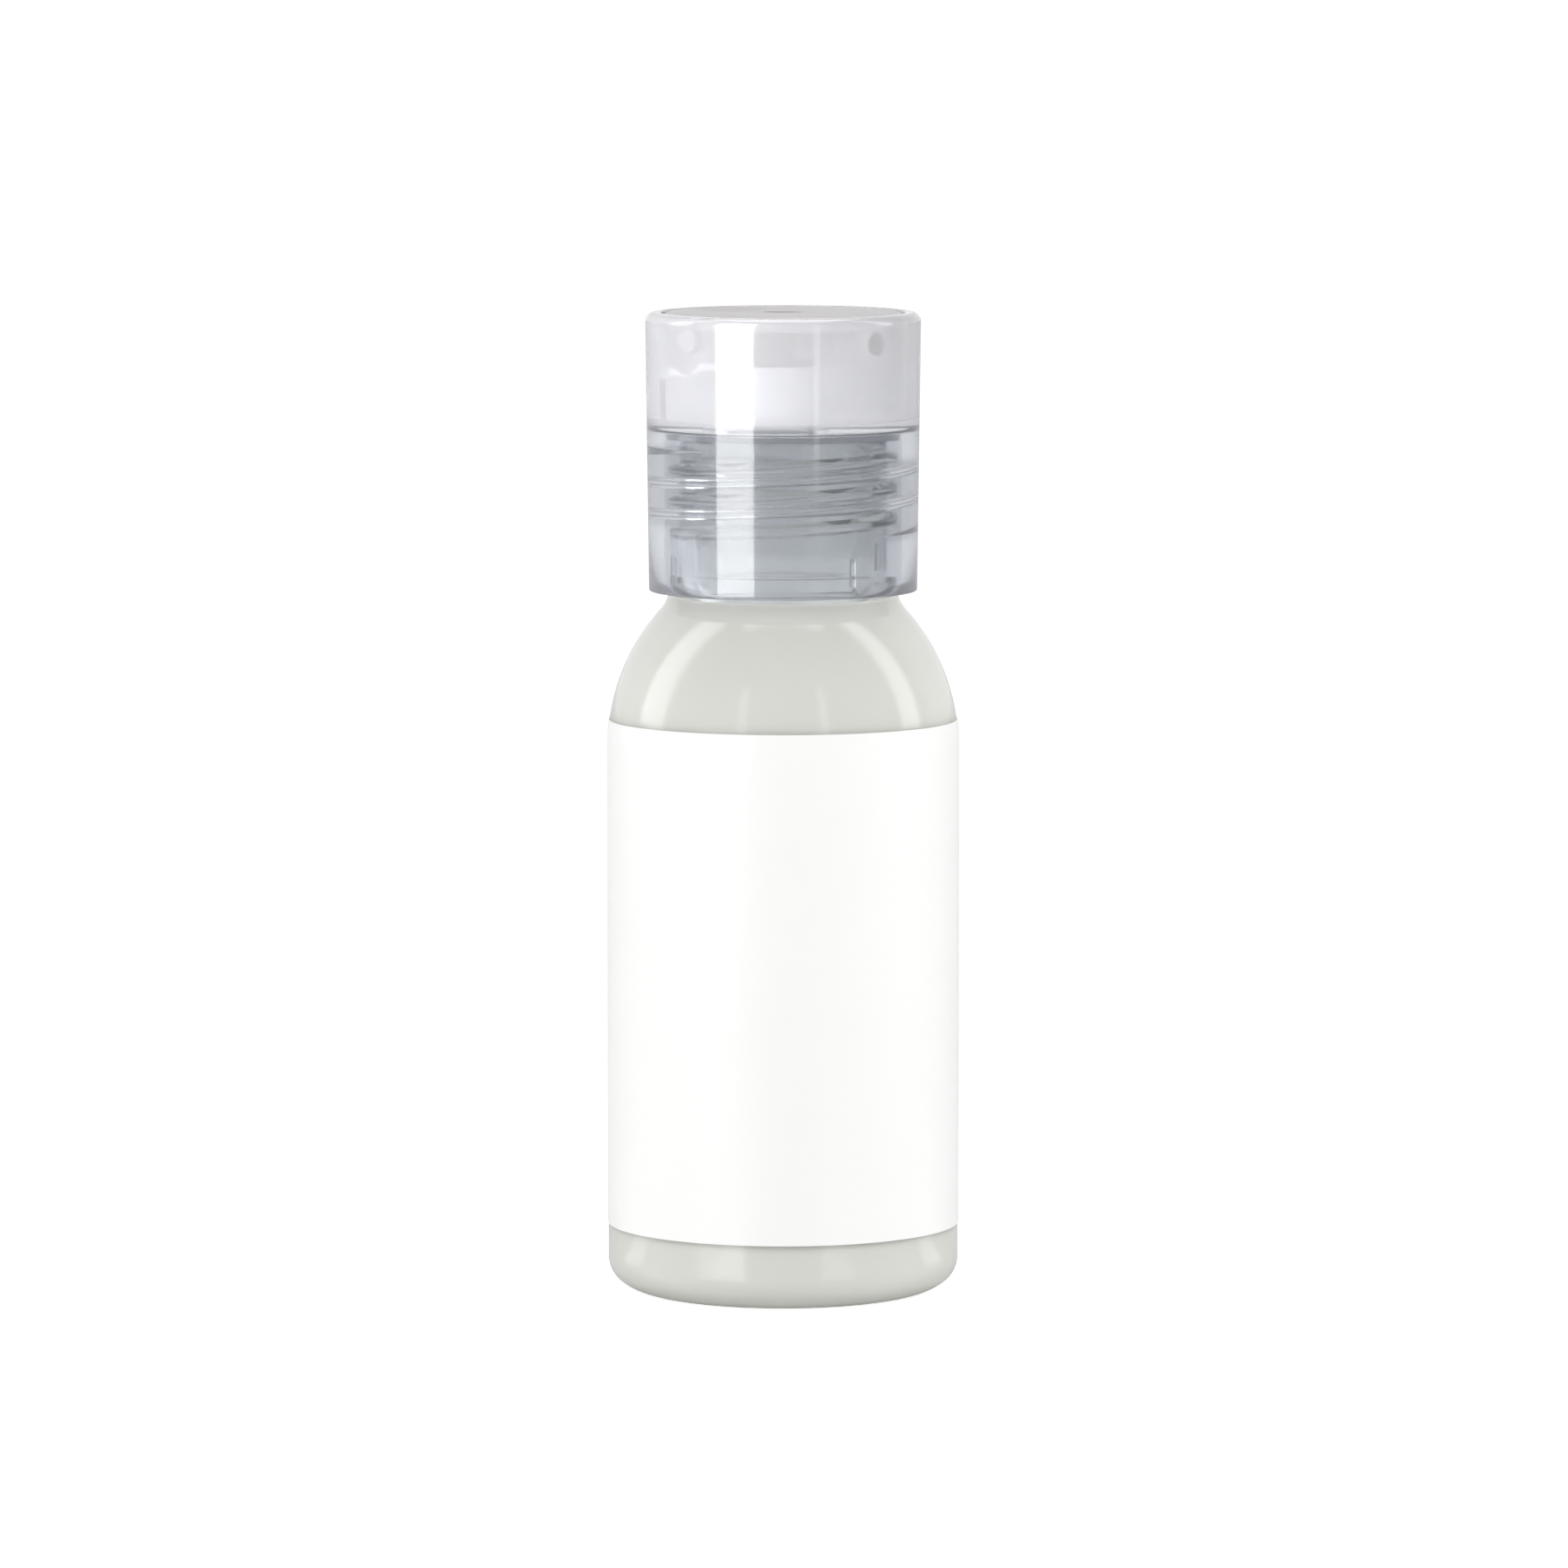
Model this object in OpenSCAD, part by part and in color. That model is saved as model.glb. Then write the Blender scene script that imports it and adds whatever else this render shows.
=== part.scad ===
// Round-shouldered lotion bottle with a wrap-round label and a press-top screw cap.
// Millimetres, +Z up, origin at the centre of the flat ring that the bottle stands on.
// -Y is the front. The spout of the press-top disc points to the front right.

/* [Bottle body] */
// Outer diameter of the straight body
body_d = 36; // [33:0.5:44]
// Height at which the straight side ends and the shoulder starts
shoulder_z = 56.2; // [50:0.1:75]
// Radius of the shoulder's arc, seen from the side
shoulder_r = 21; // [20:0.1:26]
// Radius of the hollow where the shoulder turns up into the neck
neck_fillet = 3.7; // [2:0.1:4.5]
// Radius of the heel where it meets the side
heel_side_r = 2.9; // [2:0.1:3.4]
// Radius of the heel where it meets the foot ring
heel_foot_r = 5.5; // [4:0.1:6.5]
// Angle below level at which the two heel arcs meet
heel_join = 54; // [40:1:65]
// Width of the flat foot ring
foot_w = 0.8; // [0.5:0.1:1.5]
// Height of the hollow under the base
push_up = 1.8; // [1:0.1:3]
// Thickness of the blown wall
wall = 0.7; // [0.5:0.05:1]

/* [Neck] */
// Diameter of the collar below the thread
collar_d = 23.3; // [22.2:0.1:23.6]
// Height of the collar
collar_h = 1.5; // [1:0.1:2]
// Height of the neck from the start of the collar to its top
neck_h = 15.3; // [14.6:0.1:17]
// Diameter of the neck between the threads
neck_root_d = 21.2; // [20.8:0.1:21.6]
// Diameter over the threads
thread_d = 23.5; // [23:0.1:23.8]
// Bore of the neck
neck_bore_d = 18.4; // [17:0.1:19]
// Radius of the hollow inside, below the neck bore
inner_fillet = 5; // [3.5:0.1:6]
// Rise of the thread in one turn
pitch = 3.175; // [3:0.025:3.3]
// Turns of thread on the neck
neck_turns = 2.75; // [2:0.25:2.75]
// Distance from the top of the neck down to the end of its top thread's middle
thread_start = 1.3; // [1.1:0.1:1.8]
// Width of the neck thread at its crest
crest_w = 0.7; // [0.4:0.05:0.8]
// Width of the neck thread at its foot
thread_foot_w = 1.6; // [1.2:0.05:1.7]

/* [Lotion] */
// Height of the lotion below the start of the collar
fill_drop = 1.2; // [0.5:0.1:20]
// Gap that keeps the lotion's solid clear of the wall
fill_gap = 0.05; // [0.02:0.01:0.1]

/* [Label] */
// Height of the label's lower edge
label_z = 7; // [6:0.1:20]
// Height of the label
label_h = 52; // [20:0.5:56]
// Thickness of the label film
label_t = 0.1; // [0.08:0.01:0.2]
// Gap that keeps the label's solid clear of the wall
label_seat = 0.02; // [0.01:0.01:0.05]
// Bare strip between the label's two ends, at the back
label_seam = 1.6; // [0.5:0.1:6]
// Radius of the label's corners at the seam
label_corner_r = 2; // [1:0.5:4]

/* [Gasket] */
// Thickness of the sealing gasket
gasket_t = 0.7; // [0.4:0.05:1]
// Bore of the gasket
gasket_bore_d = 17; // [15:0.1:17]
// Gap between the gasket's edge and the cap
gasket_clear = 0.25; // [0.1:0.05:0.4]

/* [Cap] */
// Height of the cap
cap_h = 28.5; // [27.9:0.1:32]
// Outer diameter of the cap at its top
cap_top_d = 28.2; // [28:0.1:30]
// Outer diameter of the cap at its bottom
cap_bottom_d = 27.5; // [27.2:0.1:28]
// Radius of the cap's top edge
cap_edge_r = 0.9; // [0.5:0.1:1]
// Depth of the skirt below the deck
skirt_h = 16.5; // [15:0.1:16.8]
// Gap between the neck's thread and the inside of the skirt
skirt_clear = 0.4; // [0.3:0.05:0.5]
// Height of the flared entry at the bottom of the skirt
entry_h = 1.2; // [0.8:0.1:2]
// How far the entry flares
entry_flare = 0.5; // [0.3:0.1:0.6]
// Thickness of the deck over the neck
deck_t = 1.2; // [1:0.1:1.5]
// Bore of the well that the disc sits in
well_d = 25; // [24.6:0.1:25.2]
// Gap between the crest of the cap's thread and the neck
crest_clear = 0.35; // [0.25:0.05:0.5]
// Play between the cap's thread and the underside of the neck's thread
thread_play = 0.25; // [0.15:0.05:0.4]
// Turns of thread inside the cap
cap_turns = 2.75; // [1.5:0.25:2.75]
// Width of the cap thread at its crest
cap_crest_w = 0.5; // [0.35:0.05:0.6]
// Width of the cap thread at its foot
cap_foot_w = 1.3; // [1:0.05:1.4]
// Height of the short ribs near the bottom of the skirt
skirt_rib_h = 2.8; // [2:0.1:3]
// Width of the short ribs
skirt_rib_w = 0.5; // [0.3:0.1:0.8]
// How far the short ribs stand out of the skirt
skirt_rib_d = 0.25; // [0.15:0.05:0.3]

/* [Press-top disc] */
// Direction of the spout, counted from +X towards +Y
spout_turn = -40; // [-180:1:180]
// Gap between the disc and the well
disc_clear = 0.35; // [0.34:0.01:0.5]
// Thickness of the disc's plate
plate_t = 1.5; // [1.3:0.1:1.6]
// Radius of the disc's top edge
disc_edge_r = 0.5; // [0.3:0.1:0.7]
// Distance of the pivot behind the middle of the cap
pivot_back = 1.5; // [0.5:0.1:1.6]
// Distance of the pivot below the top of the cap
pivot_drop = 2.5; // [2.4:0.1:2.6]
// Diameter of the two pivot pins
pin_d = 2.3; // [1.8:0.1:2.4]
// Running clearance round the pins
pin_clear = 0.06; // [0.03:0.01:0.1]
// How far the pins reach into the wall
pin_reach = 0.6; // [0.4:0.05:0.7]
// Angle that the disc tips through
tilt = 25; // [22:0.5:25]
// Radius of the ball that turns in the seat
ball_r = 5.6; // [5.4:0.1:5.8]
// Gap between the ball and the seat
seat_clear = 0.15; // [0.1:0.05:0.25]
// Radius of the post that carries the seat
post_r = 5.4; // [5.2:0.1:5.6]
// Distance from the pivot down to the rim of the seat
seat_drop = 3.3; // [3:0.1:3.6]
// Diameter of the outlet in the deck
outlet_d = 2; // [1.6:0.1:2]
// Diameter of the channel's way in, through the ball
inlet_d = 2.2; // [1.8:0.1:2.2]
// Diameter of the spout's channel
spout_d = 2.4; // [2:0.1:2.6]
// Distance of the spout's channel below the pivot
spout_drop = 0.4; // [0.3:0.1:0.7]
// Width of the bar that holds the spout
bar_w = 4.8; // [4.4:0.1:6]
// Distance from the pivot down to the underside of the bar
bar_drop = 2.4; // [2.3:0.1:2.8]
// Width of the ears that carry the pins
ear_w = 3.6; // [3.2:0.1:4]
// Thickness of the ears
ear_t = 1.6; // [1.2:0.1:2]
// How far the bar and the ears stop short of the disc's edge
under_back = 0.3; // [0.2:0.05:0.5]
// Distance from the pivot down to the stop that the disc tips onto
stop_drop = 4; // [3.9:0.05:4.6]
// Distance of the stop's front wall behind the middle of the cap
stop_back = 5; // [4:0.1:6]
// Thickness of the stop's walls
stop_t = 1; // [0.8:0.1:1.4]
// Spacing of the stop's ribs
stop_gap = 6; // [5:0.1:7]
// Diameter of the moulding mark in the middle of the disc
gate_d = 4.2; // [2:0.1:5]
// Depth of the moulding mark
gate_depth = 0.25; // [0.1:0.05:0.4]
// Radius of the thumb hollow's sphere
thumb_r = 20; // [15:1:30]
// Depth of the thumb hollow
thumb_depth = 0.45; // [0.2:0.05:0.6]
// Distance of the thumb hollow behind the middle of the cap
thumb_back = 6.8; // [6.5:0.1:7.4]

/* [Hidden] */
$fn = 96;
eps = 0.01;
// Steps of a swept thread in one turn, and how many of them its ends fade over
thread_steps = 24;
fade_steps = 4;
// How deep the foot of a thread or a rib lies in the wall that carries it
root = 0.3;
// Azimuths of the three short ribs in the skirt, and how far each starts above the flared entry
skirt_ribs = [[210, 0], [304, 0], [319, 1.5]];

body_r = body_d / 2;
neck_r = neck_root_d / 2;
bore_r = neck_bore_d / 2;
thread_r = thread_d / 2;
collar_r = collar_d / 2;
well_r = well_d / 2;
disc_r = well_r - disc_clear;
under_r = disc_r - under_back;
pin_tip_y = well_r + pin_reach;

// Height at which a fillet from the shoulder arc becomes upright at radius r_neck
function turn_up_z(r_body, r_arc, r_neck, r_fillet) =
    shoulder_z + sqrt(pow(r_arc + r_fillet, 2) - pow(r_neck + r_fillet - r_body + r_arc, 2));

collar_z = turn_up_z(body_r, shoulder_r, collar_r, neck_fillet);
neck_top = collar_z + neck_h;
fill_z = collar_z - fill_drop;
deck_z = neck_top + gasket_t;
deck_top = deck_z + deck_t;
cap_z = deck_z - skirt_h;
cap_top = cap_z + cap_h;
skirt_r = thread_r + skirt_clear;
pivot_z = cap_top - pivot_drop;
plate_z = cap_top - plate_t;
stop_z = pivot_z - stop_drop;
post_top = pivot_z - seat_drop;
seat_r = ball_r + seat_clear;
// The deck is cored out under the seat, one deck thickness below it
core_top = pivot_z - seat_r - deck_t;
core_r = post_r - deck_t;

// Middle of the top thread's end, and of the cap thread's upper end half a turn further up
neck_thread_top = neck_top - thread_start;
mid_widths = (crest_w + thread_foot_w + cap_crest_w + cap_foot_w) / 4;
cap_thread_drop = mid_widths + thread_play;
neck_thread_end = 50;
cap_thread_top = neck_thread_top - cap_thread_drop + pitch / 2;
cap_thread_end = neck_thread_end + 180;

// Heel arcs: the small one touches the side, the large one touches the foot plane
function heel_low(r_body, r_side, r_foot) =
    [r_body - r_side - (r_foot - r_side) * cos(heel_join), r_foot];
function heel_high(r_body, r_side, r_foot) =
    [r_body - r_side, r_foot - (r_foot - r_side) * sin(heel_join)];

foot_outer_r = heel_low(body_r, heel_side_r, heel_foot_r)[0];
foot_inner_r = foot_outer_r - foot_w;
dome_r = (pow(foot_inner_r, 2) + pow(push_up, 2)) / (2 * push_up);
dome_z = push_up - dome_r;

// A slice of a circle from angle a0 to a1, less than half a turn
module slice(centre, r, a0, a1) {
    reach = 2 * r;
    mid = (a0 + a1) / 2;
    translate(centre)
        intersection() {
            circle(r);
            polygon([[0, 0], reach * [cos(a0), sin(a0)], reach * [cos(mid), sin(mid)], reach * [cos(a1), sin(a1)]]);
        }
}

// Half section of the bottle's form, inset from the outside by the distance in
module bottle_half(in, r_neck, r_fillet, top) {
    r_body = body_r - in;
    r_arc = shoulder_r - in;
    low = heel_low(body_r, heel_side_r, heel_foot_r);
    high = heel_high(body_r, heel_side_r, heel_foot_r);
    z_neck = turn_up_z(r_body, r_arc, r_neck, r_fillet);
    arc_x = r_body - r_arc;
    rise = atan2(z_neck - shoulder_z, r_neck + r_fillet - arc_x);
    touch = [arc_x + r_arc * cos(rise), shoulder_z + r_arc * sin(rise)];
    union() {
        polygon([[0, in], [low[0], in], low, high, [r_body, high[1]], [r_body, shoulder_z], [0, shoulder_z]]);
        slice(low, heel_foot_r - in, -90, -heel_join);
        slice(high, heel_side_r - in, -heel_join, 0);
        difference() {
            slice([arc_x, shoulder_z], r_arc, 0, rise);
            translate([-r_arc, 0])
                square([r_arc, top + r_arc]);
        }
        difference() {
            polygon([
                [0, shoulder_z], [max(arc_x, 0), shoulder_z], touch,
                [r_neck + r_fillet, z_neck], [0, z_neck]
            ]);
            translate([r_neck + r_fillet, z_neck])
                circle(r_fillet);
        }
        translate([0, z_neck - eps])
            square([r_neck, top - z_neck + eps]);
    }
}

// Half section of the space inside the bottle, drawn back from its walls by gap
module hollow_half(gap, top) {
    difference() {
        bottle_half(wall + gap, bore_r - gap, inner_fillet, top);
        translate([0, dome_z])
            circle(dome_r + wall + gap, $fn = 240);
    }
}

// Ring of four points across a thread: foot, crest, crest, foot. side is -1 for a thread inside a bore
function thread_ring(angle, z, foot_r, tip_r, foot_w, tip_w, side) = [
    [foot_r * cos(angle), foot_r * sin(angle), z - side * foot_w / 2],
    [tip_r * cos(angle), tip_r * sin(angle), z - side * tip_w / 2],
    [tip_r * cos(angle), tip_r * sin(angle), z + side * tip_w / 2],
    [foot_r * cos(angle), foot_r * sin(angle), z + side * foot_w / 2]
];

// Right-hand thread that ends at height top and azimuth end, on a wall of radius wall_r
module thread(wall_r, tip_r, turns, top, end, foot_w, tip_w) {
    side = tip_r > wall_r ? 1 : -1;
    foot_r = wall_r - side * root;
    sunk_r = wall_r - side * root / 2;
    steps = round(turns * thread_steps);
    rings = [
        for (i = [0:steps])
            let (
                share = min(1, i / fade_steps, (steps - i) / fade_steps),
                back = (steps - i) / thread_steps
            )
            thread_ring(
                end - 360 * back, top - pitch * back,
                foot_r, sunk_r + (tip_r - sunk_r) * share, foot_w, tip_w, side
            )
    ];
    sides = [
        for (i = [0:steps - 1])
            for (j = [0:3])
                let (a = 4 * i + j, b = 4 * i + (j + 1) % 4)
                each [[a, b, b + 4], [a, b + 4, a + 4]]
    ];
    last = 4 * steps;
    polyhedron(
        points = [for (ring = rings) each ring],
        faces = concat(sides, [[0, 3, 2], [0, 2, 1], [last, last + 1, last + 2], [last, last + 2, last + 3]]),
        convexity = 10
    );
}

// Places children in the disc's frame: +X to the spout, the pivot axis along Y, origin on the pivot
module at_pivot() {
    rotate([0, 0, spout_turn])
        translate([-pivot_back, 0, pivot_z])
            children();
}

module bottle() {
    color([0.88, 0.92, 0.9, 0.35])
        union() {
            rotate_extrude()
                difference() {
                    union() {
                        bottle_half(0, neck_r, neck_fillet + collar_r - neck_r, neck_top);
                        collar_half();
                    }
                    hollow_half(0, neck_top + 1);
                    translate([0, dome_z])
                        circle(dome_r, $fn = 240);
                }
            thread(neck_r, thread_r, neck_turns, neck_thread_top, neck_thread_end, thread_foot_w, crest_w);
        }
}

// Collar at the foot of the neck, with the visible hollow that turns up into it
module collar_half() {
    bottle_half(0, collar_r, neck_fillet, collar_z + collar_h);
}

module lotion() {
    color([0.86, 0.87, 0.83])
        rotate_extrude()
            intersection() {
                hollow_half(fill_gap, neck_top);
                square([body_r, fill_z]);
            }
}

// Film wrapped round the straight side, with rounded corners at the bare strip
module label() {
    inner_r = body_r + label_seat;
    color("white")
        difference() {
            translate([0, 0, label_z])
                linear_extrude(label_h)
                    difference() {
                        circle(inner_r + label_t);
                        circle(inner_r);
                    }
            label_seam_cut(inner_r);
        }
}

// The bare strip runs up the back, and widens at both ends round the corners
module label_seam_cut(inner_r) {
    half = label_seam / 2;
    translate([0, 0, label_z])
        rotate([90, 0, 180])
            linear_extrude(inner_r + 1)
                difference() {
                    translate([-half - label_corner_r, -1])
                        square([2 * (half + label_corner_r), label_h + 2]);
                    for (side = [-1, 1])
                        label_end(side, half);
                }
}

// One end of the label, flat, with its two rounded corners
module label_end(side, half) {
    middle = label_h / 2;
    translate([0, middle])
        rotate(side > 0 ? 0 : 180) {
            translate([half, label_corner_r - middle])
                square([label_corner_r + 1, label_h - 2 * label_corner_r]);
            for (z = [label_corner_r - middle, middle - label_corner_r])
                translate([half + label_corner_r, z])
                    circle(label_corner_r);
        }
}

module gasket() {
    color("dimgray")
        translate([0, 0, neck_top])
            linear_extrude(gasket_t)
                difference() {
                    circle(skirt_r - gasket_clear);
                    circle(gasket_bore_d / 2);
                }
}

// Half section of the cap's outside, with a slight draft and a rounded top edge
module cap_outside_half() {
    top_r = cap_top_d / 2;
    union() {
        polygon([
            [0, cap_z], [cap_bottom_d / 2, cap_z], [top_r, cap_top - cap_edge_r],
            [top_r - cap_edge_r, cap_top], [0, cap_top]
        ]);
        slice([top_r - cap_edge_r, cap_top - cap_edge_r], cap_edge_r, 0, 90);
    }
}

module cap_body() {
    color([0.8, 0.8, 0.84, 0.6])
        union() {
            difference() {
                union() {
                    cap_shell();
                    intersection() {
                        union() {
                            seat_post();
                            disc_stop();
                        }
                        translate([0, 0, deck_z])
                            cylinder(r = well_r + root, h = cap_top - deck_z);
                    }
                }
                seat_cuts();
                pin_sockets();
            }
            thread(skirt_r, neck_r + crest_clear, cap_turns, cap_thread_top, cap_thread_end, cap_foot_w, cap_crest_w);
            skirt_ribs();
        }
}

// Skirt, deck and the wall round the well
module cap_shell() {
    rotate_extrude()
        difference() {
            cap_outside_half();
            translate([0, cap_z - 1])
                square([skirt_r, skirt_h + 1]);
            polygon([
                [0, cap_z - eps], [skirt_r + entry_flare, cap_z - eps],
                [skirt_r, cap_z + entry_h], [0, cap_z + entry_h]
            ]);
            translate([0, deck_top])
                square([well_r, cap_top - deck_top + 1]);
        }
}

// Post on the deck whose hollow top holds the ball
module seat_post() {
    at_pivot()
        translate([0, 0, deck_z - pivot_z])
            cylinder(r = post_r, h = post_top - deck_z);
}

module seat_cuts() {
    at_pivot() {
        sphere(seat_r);
        translate([0, 0, deck_z - pivot_z - 1])
            cylinder(d = outlet_d, h = pivot_z - deck_z);
        translate([0, 0, deck_z - pivot_z - eps])
            cylinder(r = core_r, h = core_top - deck_z + eps);
    }
}

// Wall across the well and the ribs behind it, which the back of the disc comes down on
module disc_stop() {
    high = stop_z - deck_z;
    rotate([0, 0, spout_turn])
        translate([0, 0, deck_z]) {
            translate([-stop_back - stop_t, -well_r, 0])
                cube([stop_t, 2 * well_r, high]);
            for (k = [-1:1])
                translate([-well_r - root, k * stop_gap - stop_t / 2, 0])
                    cube([well_r + root - stop_back, stop_t, high]);
        }
}

module pin_sockets() {
    at_pivot()
        rotate([90, 0, 0])
            translate([0, 0, -pin_tip_y - pin_clear])
                cylinder(d = pin_d + 2 * pin_clear, h = 2 * (pin_tip_y + pin_clear));
}

// Short upright ribs inside the skirt, above its flared entry
module skirt_ribs() {
    for (rib = skirt_ribs)
        rotate([0, 0, rib[0]])
            translate([skirt_r - skirt_rib_d, -skirt_rib_w / 2, cap_z + entry_h + rib[1]])
                cube([skirt_rib_d + root, skirt_rib_w, skirt_rib_h]);
}

module cap_disc() {
    color([0.78, 0.77, 0.8, 0.7])
        difference() {
            union() {
                rotate_extrude()
                    disc_plate_half();
                disc_underside();
                disc_pins();
            }
            disc_channel();
            translate([0, 0, cap_top - gate_depth])
                cylinder(d = gate_d, h = 1);
            thumb_hollow();
        }
}

// Half section of the plate, with a rounded top edge
module disc_plate_half() {
    polygon([
        [0, plate_z], [disc_r, plate_z], [disc_r, cap_top - disc_edge_r],
        [disc_r - disc_edge_r, cap_top], [0, cap_top]
    ]);
    slice([disc_r - disc_edge_r, cap_top - disc_edge_r], disc_edge_r, 0, 90);
}

// Ball, spout bar and pin ears, all hanging from the plate
module disc_underside() {
    up = plate_z - pivot_z + eps;
    intersection() {
        at_pivot() {
            intersection() {
                union() {
                    sphere(ball_r);
                    cylinder(r = ball_r, h = up);
                }
                translate([-ball_r, -ball_r, -ball_r])
                    cube([2 * ball_r, 2 * ball_r, ball_r + up]);
            }
            translate([0, -bar_w / 2, -bar_drop])
                cube([well_r + pivot_back, bar_w, bar_drop + up]);
            for (side = [-1, 1])
                translate([-ear_w / 2, side * (under_r - ear_t / 2) - ear_t / 2, -ear_w / 2])
                    cube([ear_w, ear_t, ear_w / 2 + up]);
        }
        translate([0, 0, pivot_z - ball_r - 1])
            cylinder(r = under_r, h = ball_r + pivot_drop);
    }
}

module disc_pins() {
    at_pivot()
        for (side = [0, 180])
            rotate([90, 0, side])
                translate([0, 0, under_r - ear_t / 2])
                    cylinder(d = pin_d, h = pin_tip_y - under_r + ear_t / 2 - pin_clear);
}

// Way in through the back of the ball, and the channel forward to the spout
module disc_channel() {
    at_pivot() {
        rotate([0, tilt, 0])
            translate([0, 0, -ball_r - 1])
                cylinder(d = inlet_d, h = ball_r + 1);
        translate([0, 0, -spout_drop])
            rotate([0, 90, 0])
                cylinder(d = spout_d, h = 2 * well_r);
    }
}

module thumb_hollow() {
    rotate([0, 0, spout_turn])
        translate([-thumb_back, 0, cap_top + thumb_r - thumb_depth])
            sphere(thumb_r);
}

bottle();
lotion();
label();
gasket();
cap_body();
cap_disc();
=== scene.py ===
"""Clear bottle of lotion with a bare wrap-round label and a press-top screw cap.

Every piece is drawn in millimetres about the bottle's axis, +Z up, with -Y as the front, and
is stored in metres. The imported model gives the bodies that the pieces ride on.
"""

import math

import bmesh
import bpy
from bpy.props import FloatProperty, FloatVectorProperty, IntProperty, PointerProperty
from mathutils import Matrix, Vector


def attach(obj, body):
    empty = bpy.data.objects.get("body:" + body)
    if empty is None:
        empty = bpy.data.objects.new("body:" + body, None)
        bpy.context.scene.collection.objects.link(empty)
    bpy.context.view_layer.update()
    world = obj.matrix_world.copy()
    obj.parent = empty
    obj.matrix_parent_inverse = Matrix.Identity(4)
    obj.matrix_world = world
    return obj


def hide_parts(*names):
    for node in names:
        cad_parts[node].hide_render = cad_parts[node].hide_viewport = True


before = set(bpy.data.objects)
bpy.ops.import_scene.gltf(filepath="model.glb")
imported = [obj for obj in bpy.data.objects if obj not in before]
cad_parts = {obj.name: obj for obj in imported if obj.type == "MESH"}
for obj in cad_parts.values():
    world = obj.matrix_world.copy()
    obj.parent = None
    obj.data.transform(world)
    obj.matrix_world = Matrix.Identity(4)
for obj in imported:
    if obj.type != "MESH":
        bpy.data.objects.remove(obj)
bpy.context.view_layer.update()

bl_info = {
    "name": "Lotion bottle",
    "version": (1, 0, 0),
    "blender": (4, 5, 0),
    "location": "3D View > Sidebar > Bottle",
    "description": "Finishes the pieces of a lotion bottle with a press-top screw cap",
    "category": "Object",
}

MM = 0.001


def linear(code):
    """The linear colour of an sRGB hex code."""
    parts = [int(code[i:i + 2], 16) / 255 for i in (0, 2, 4)]
    return tuple(c / 12.92 if c <= 0.04045 else ((c + 0.055) / 1.055) ** 2.4 for c in parts)


# Sizes and colours that a user would change


def length(name, mm, description):
    return FloatProperty(name=name, description=description, default=mm * MM, unit="LENGTH", precision=5)


def colour(name, code, description):
    return FloatVectorProperty(
        name=name, description=description, default=linear(code), subtype="COLOR", size=3, min=0, max=1
    )


class BottleSizes(bpy.types.PropertyGroup):
    body_r: length("Body radius", 18, "Outer radius of the straight body")
    wall: length("Wall", 0.7, "Thickness of the blown wall")
    shoulder_z: length("Shoulder start", 56.2, "Height at which the straight side ends")
    shoulder_r: length("Shoulder arc", 21, "Radius of the shoulder, seen from the side")
    collar_z: length("Collar start", 72.734, "Height at which the shoulder turns up into the collar")
    collar_r: length("Collar radius", 11.65, "Radius of the collar below the thread")
    neck_fillet: length("Neck hollow", 3.7, "Radius of the hollow below the collar")
    neck_r: length("Neck radius", 10.6, "Radius of the neck between the threads")
    neck_top: length("Neck top", 88.034, "Height of the neck's rim")
    bore_r: length("Neck bore", 9.2, "Radius of the neck's bore")
    thread_r: length("Thread radius", 11.75, "Radius over the neck's thread")
    push_up: length("Push-up", 1.8, "Height of the hollow under the base")
    pitch: length("Pitch", 3.175, "Rise of the thread in one turn")
    fill_z: length("Fill height", 71.534, "Height of the lotion's surface")
    label_z: length("Label foot", 7, "Height of the label's lower edge")
    label_h: length("Label height", 52, "Height of the label")
    label_seam: length("Bare strip", 1.6, "Width of the bare strip at the back of the label")
    label_corner: length("Label corner", 2, "Radius of the label's corners")
    steps: IntProperty(name="Steps", description="Faces round the axis", default=192, min=48, max=360)


class CapSizes(bpy.types.PropertyGroup):
    foot_z: length("Foot", 72.234, "Height of the skirt's lower edge")
    top_z: length("Top", 100.734, "Height of the cap's top")
    foot_r: length("Foot radius", 13.75, "Outer radius at the skirt's lower edge")
    top_r: length("Top radius", 14.1, "Outer radius at the top")
    edge_r: length("Top edge", 0.9, "Radius of the cap's top edge")
    skirt_r: length("Skirt radius", 12.15, "Inner radius of the skirt")
    deck_z: length("Deck", 88.734, "Height of the deck's underside")
    deck_top: length("Deck top", 89.934, "Height of the deck's upper side")
    well_r: length("Well radius", 12.5, "Radius of the well that the disc sits in")
    thread_r: length("Thread radius", 10.95, "Radius at the crest of the cap's thread")
    disc_r: length("Disc radius", 12.15, "Radius of the press-top disc")
    plate_z: length("Plate", 99.234, "Height of the underside of the disc's plate")
    pivot_z: length("Pivot height", 98.234, "Height of the disc's pivot")
    pivot_back: length("Pivot offset", 1.5, "Distance of the pivot behind the middle of the cap")
    ball_r: length("Ball radius", 5.6, "Radius of the ball under the disc")
    seat_r: length("Seat radius", 5.75, "Radius of the seat that the ball turns in")
    spout_turn: FloatProperty(
        name="Spout direction", description="Counted from +X towards +Y",
        default=math.radians(-40), unit="ROTATION",
    )


class Finishes(bpy.types.PropertyGroup):
    clear: colour("Clear wall", "FBFCFA", "Tint of the blown wall")
    lotion: colour("Lotion", "D9D9D5", "Colour of the lotion")
    label: colour("Label film", "F4F4F3", "Colour of the bare label")
    foam: colour("Gasket foam", "7E8187", "Colour of the foam gasket")
    cap: colour("Cap plastic", "F0F0F2", "Tint of the cap's plastic where it is milky")
    # The skirt's tint is darker than the cap's milky tint. The difference is painted shade, standing in for
    # the dimmer things seen through the clear skirt.
    skirt: colour("Cap skirt", "DADDE2", "Tint of the cap's clear skirt")
    disc: colour("Disc plastic", "D3CFD1", "Tint of the disc's plastic")


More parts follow.
